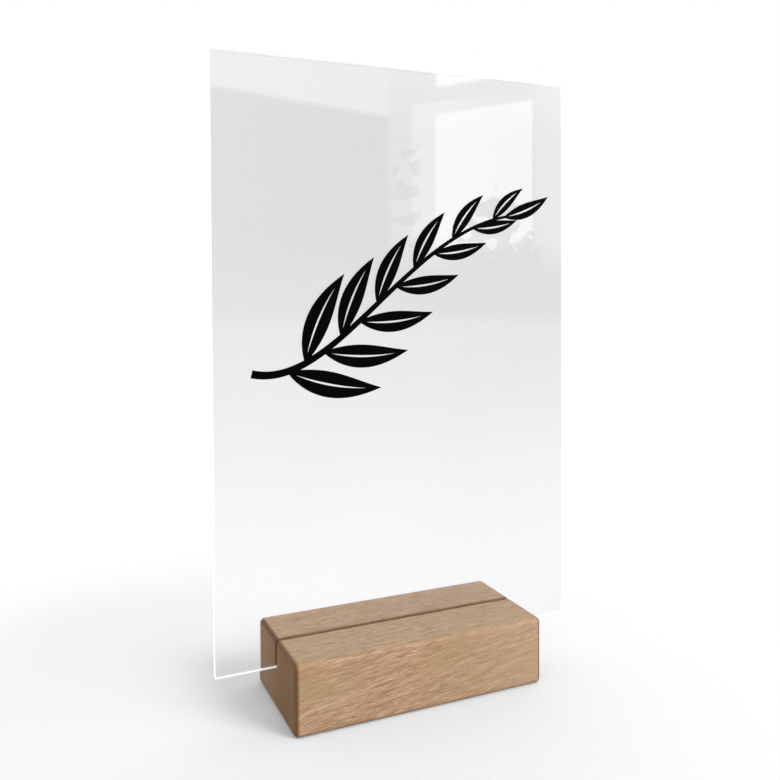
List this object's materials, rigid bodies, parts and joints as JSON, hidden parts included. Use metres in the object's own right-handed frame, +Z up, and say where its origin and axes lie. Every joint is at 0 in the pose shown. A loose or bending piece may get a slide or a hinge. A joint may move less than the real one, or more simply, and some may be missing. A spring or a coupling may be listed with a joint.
{
  "type": "tabletop plaque",
  "caption": "Clear upright sheet with a black leafy sprig in vinyl, standing in a through slot in a small rounded hardwood block; the sheet lifts out.",
  "frame": {"origin": "centre of the wooden block's underside", "axes": "+Z up, +X to the right along the slot, -Y towards the viewer, which is the side the sprig is on"},
  "size_m": [0.15, 0.048, 0.241],
  "materials": {
    "oak": "satin",
    "clear_acrylic": "polished",
    "black_vinyl": "satin"
  },
  "bodies": {
    "base": {"wooden_base": "oak"},
    "sheet": {"clear_sheet": "clear_acrylic", "vinyl_sprig": "black_vinyl"}
  },
  "joints": [
    {"name": "sheet_lift", "type": "slide", "parent": "base", "child": "sheet", "axis": [0, 0, 1], "range_m": [0, 0.03]}
  ]
}
